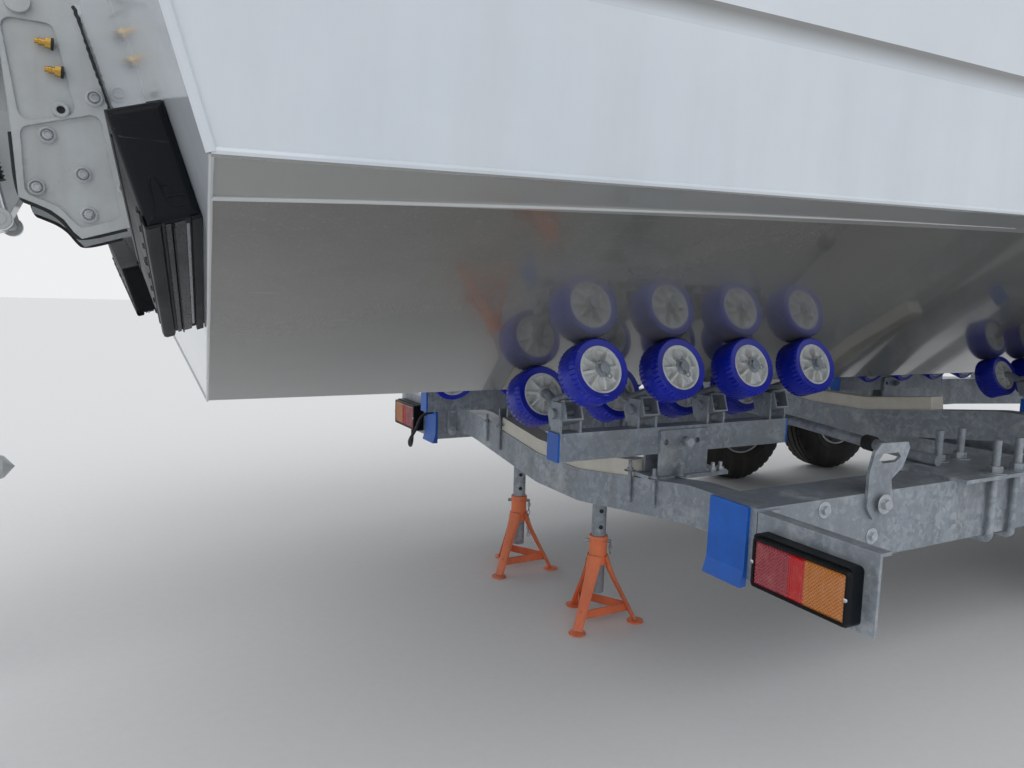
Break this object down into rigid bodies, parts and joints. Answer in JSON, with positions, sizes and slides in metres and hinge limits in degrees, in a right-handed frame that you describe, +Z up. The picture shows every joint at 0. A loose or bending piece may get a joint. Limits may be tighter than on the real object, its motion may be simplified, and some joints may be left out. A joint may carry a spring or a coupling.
{
  "type": "outboard speedboat on a roller trailer",
  "caption": "Small open-cockpit speedboat with an outboard engine, resting on a tandem-axle roller trailer and two stands.",
  "frame": {"origin": "on the floor under the middle of the outfit's box", "axes": "+X to the bow and the tow coupling, +Y to port, +Z up"},
  "size_m": [8.809, 2.5934, 2.3501],
  "materials": {
    "white_gelcoat": "glossy gelcoat over laminate",
    "black_rubber": "satin",
    "tinted_glass": "clear",
    "polished_steel": "polished",
    "black_plastic": "satin",
    "cast_white": "glossy paint over castings",
    "engine_grey": "satin",
    "blade_steel": "brushed",
    "seat_shell": "satin",
    "seat_vinyl": "soft vinyl over foam",
    "galvanised_steel": "hot-dip galvanised",
    "cream_plastic": "matte",
    "blue_roller": "satin polyurethane",
    "nylon_hub": "satin",
    "blue_cap": "satin",
    "lamp_lens": "ribbed clear red and amber",
    "orange_paint": "worn paint",
    "tyre": "matte",
    "steel_rim": "galvanised"
  },
  "bodies": {
    "outfit": {"hull": "white_gelcoat", "deck": "white_gelcoat", "helm_console": "white_gelcoat", "swim_platforms": "white_gelcoat", "rub_rail": "black_rubber", "bow_stop": "black_rubber", "lamp_lead": "black_rubber", "windscreen_glass": "tinted_glass", "windscreen_frame": "polished_steel", "bow_rail": "polished_steel", "deck_fittings": "polished_steel", "helm_column": "polished_steel", "trim_housings": "black_plastic", "lamp_housings": "black_plastic", "mudguards": "black_plastic", "clamp_bracket": "cast_white", "seat_frames": "seat_shell", "seat_cushions": "seat_vinyl", "trailer_rails": "galvanised_steel", "crossmembers": "galvanised_steel", "roller_axles": "galvanised_steel", "roller_carriers": "galvanised_steel", "rocker_beams": "galvanised_steel", "rocker_brackets": "galvanised_steel", "cross_tube": "galvanised_steel", "coupling_head": "galvanised_steel", "winch_post": "galvanised_steel", "winch": "galvanised_steel", "jockey_column": "galvanised_steel", "lamp_brackets": "galvanised_steel", "rail_fittings": "galvanised_steel", "axle_units": "galvanised_steel", "stand_pipes": "galvanised_steel", "keel_skids": "cream_plastic", "roller_treads": "blue_roller", "roller_hubs": "nylon_hub", "end_caps": "blue_cap", "lamp_lenses": "lamp_lens", "stand_frames": "orange_paint"},
    "engine_swivel": {"swivel_bracket": "cast_white"},
    "engine": {"outboard_leg": "cast_white", "outboard_cowl": "cast_white", "engine_block": "engine_grey", "propeller_shaft": "polished_steel"},
    "propeller": {"propeller": "polished_steel"},
    "helm_wheel": {"helm_wheel": "black_plastic"},
    "deck_hatch": {"deck_hatch": "white_gelcoat"},
    "trim_blade_port": {"trim_blade_port": "blade_steel"},
    "trim_blade_starboard": {"trim_blade_starboard": "blade_steel"},
    "jockey_fork": {"jockey_fork": "galvanised_steel"},
    "jockey_wheel": {"jockey_wheel": "black_rubber"},
    "wheel_starboard_aft": {"tyre_starboard_aft": "tyre", "rim_starboard_aft": "steel_rim"},
    "wheel_port_aft": {"tyre_port_aft": "tyre", "rim_port_aft": "steel_rim"},
    "wheel_starboard_fore": {"tyre_starboard_fore": "tyre", "rim_starboard_fore": "steel_rim"},
    "wheel_port_fore": {"tyre_port_fore": "tyre", "rim_port_fore": "steel_rim"}
  },
  "joints": [
    {"name": "engine_tilt", "type": "hinge", "parent": "outfit", "child": "engine_swivel", "pos_m": [-3.6805, 0, 1.475], "axis": [0, 1, 0], "range_deg": [0, 65]},
    {"name": "engine_steer", "type": "hinge", "parent": "engine_swivel", "child": "engine", "pos_m": [-3.8355, 0, 1.26], "axis": [0, 0, 1], "range_deg": [-30, 30]},
    {"name": "propeller_spin", "type": "hinge", "parent": "engine", "child": "propeller", "pos_m": [-4.3205, 0, 0.545], "axis": [1, 0, 0], "continuous": true},
    {"name": "helm_turn", "type": "hinge", "parent": "outfit", "child": "helm_wheel", "pos_m": [-0.5705, -0.59, 1.6], "axis": [-0.8829, 0, 0.4695], "range_deg": [-540, 540]},
    {"name": "hatch_lift", "type": "hinge", "parent": "outfit", "child": "deck_hatch", "pos_m": [1.2765, 0, 1.987], "axis": [0, -1, 0], "range_deg": [0, 100]},
    {"name": "trim_port_down", "type": "slide", "parent": "outfit", "child": "trim_blade_port", "axis": [0.2961, 0, -0.9552], "range_m": [0, 0.05]},
    {"name": "trim_starboard_down", "type": "slide", "parent": "outfit", "child": "trim_blade_starboard", "axis": [0.2961, 0, -0.9552], "range_m": [0, 0.05]},
    {"name": "jockey_caster", "type": "hinge", "parent": "outfit", "child": "jockey_fork", "pos_m": [3.8145, 0.15, 0.275], "axis": [0, 0, 1], "continuous": true},
    {"name": "jockey_spin", "type": "hinge", "parent": "jockey_fork", "child": "jockey_wheel", "pos_m": [3.7695, 0.15, 0.105], "axis": [0, 1, 0], "continuous": true},
    {"name": "wheel_starboard_aft_spin", "type": "hinge", "parent": "outfit", "child": "wheel_starboard_aft", "pos_m": [-0.5355, -1.075, 0.325], "axis": [0, 1, 0], "continuous": true},
    {"name": "wheel_port_aft_spin", "type": "hinge", "parent": "outfit", "child": "wheel_port_aft", "pos_m": [-0.5355, 1.075, 0.325], "axis": [0, 1, 0], "continuous": true},
    {"name": "wheel_starboard_fore_spin", "type": "hinge", "parent": "outfit", "child": "wheel_starboard_fore", "pos_m": [0.2145, -1.075, 0.325], "axis": [0, 1, 0], "continuous": true},
    {"name": "wheel_port_fore_spin", "type": "hinge", "parent": "outfit", "child": "wheel_port_fore", "pos_m": [0.2145, 1.075, 0.325], "axis": [0, 1, 0], "continuous": true}
  ]
}
